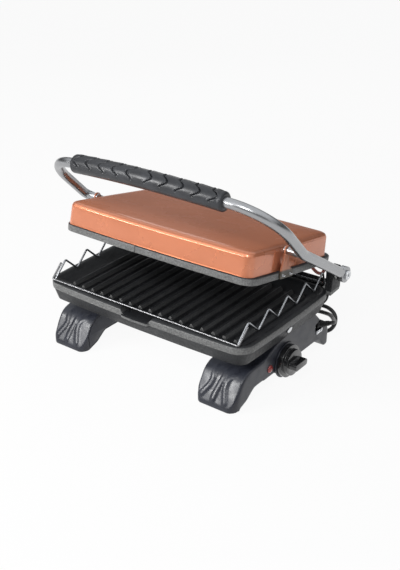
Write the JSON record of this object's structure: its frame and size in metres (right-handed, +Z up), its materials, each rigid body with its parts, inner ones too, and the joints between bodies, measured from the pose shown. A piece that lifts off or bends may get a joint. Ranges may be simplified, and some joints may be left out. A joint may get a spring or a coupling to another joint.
{
  "type": "electric indoor grill with lid",
  "caption": "Electric contact grill: ribbed pan on bridge legs, self-levelling lid on a bail handle, lift-out skewer rack and a thermostat knob.",
  "frame": {"origin": "centre of the grill's bounding box on the floor, mains lead left out", "axes": "+X to the right across the front, -Y towards the front, +Z up; the lid stands half open at rest"},
  "size_m": [0.4496, 0.3869, 0.3384],
  "materials": {
    "nonstick_cast": "dark non-stick coating on cast aluminium",
    "heater_sheath": "oxidised steel sheath",
    "sheet_steel": "plain sheet steel",
    "screw_steel": "zinc-plated steel",
    "leg_plastic": "satin heat-resistant moulding",
    "foot_rubber": "black rubber",
    "ceramic": "pale insulating moulding",
    "red_lens": "clear red lens",
    "lamp": "small neon lamp",
    "cord_jacket": "black rubber jacket",
    "knob_plastic": "glossy black moulding",
    "washer_plastic": "pale washer",
    "lead_silicone": "salmon silicone sleeve",
    "satin_aluminium": "satin anodised tube",
    "grip_rubber": "dark textured grip",
    "copper_cover": "satin copper-coloured coating on drawn steel",
    "chrome_wire": "bright chromed wire"
  },
  "bodies": {
    "base": {"grill_pan": "nonstick_cast", "lower_heating_element": "heater_sheath", "base_cover": "sheet_steel", "base_cover_screws": "screw_steel", "left_leg": "leg_plastic", "right_leg": "leg_plastic", "left_leg_cover": "leg_plastic", "right_leg_cover": "leg_plastic", "leg_screws": "screw_steel", "rubber_feet": "foot_rubber", "side_rivets": "screw_steel", "thermostat_body": "ceramic", "thermostat_nut": "screw_steel", "dial_ring": "leg_plastic", "indicator_lens": "red_lens", "indicator_lamp": "lamp", "terminal_block": "ceramic", "cord_clamp": "screw_steel", "clamp_screws": "screw_steel", "strain_relief": "cord_jacket", "power_cord": "cord_jacket", "cord_coil": "cord_jacket", "coil_tie": "foot_rubber", "plug_body": "cord_jacket", "plug_pins": "screw_steel", "hinge_pins": "screw_steel", "hinge_washers": "washer_plastic", "lead_elbow": "knob_plastic", "lead_tail": "lead_silicone"},
    "knob": {"thermostat_shaft": "screw_steel", "control_knob": "knob_plastic"},
    "bail": {"bail_tube": "satin_aluminium", "bail_eyes": "satin_aluminium", "bail_grip": "grip_rubber", "lid_pivot_pins": "satin_aluminium", "lid_lead": "lead_silicone"},
    "lid": {"upper_plate": "nonstick_cast", "upper_heating_element": "heater_sheath", "lid_reflector": "sheet_steel", "lid_cover": "copper_cover", "lid_cover_screws": "screw_steel", "lid_brackets": "sheet_steel", "bracket_screws": "screw_steel", "lead_grommet": "foot_rubber"},
    "rack": {"rack_left_zigzag": "chrome_wire", "rack_right_zigzag": "chrome_wire", "rack_front_wire": "chrome_wire", "rack_back_wire": "chrome_wire"}
  },
  "joints": [
    {"name": "bail_hinge", "type": "hinge", "parent": "base", "child": "bail", "pos_m": [0, 0.12, 0.1414], "axis": [-1, 0, 0], "range_deg": [-11, 65]},
    {"name": "lid_tilt", "type": "hinge", "parent": "bail", "child": "lid", "pos_m": [0, -0.008, 0.2225], "axis": [1, 0, 0], "range_deg": [0, 5.5], "deforming": ["lid_lead"]},
    {"name": "rack_out", "type": "slide", "parent": "base", "child": "rack", "axis": [0, -1, 0], "range_m": [0, 0.3]},
    {"name": "knob_turn", "type": "hinge", "parent": "base", "child": "knob", "pos_m": [0.189, -0.001, 0.033], "axis": [1, 0, 0], "range_deg": [0, 270]}
  ]
}
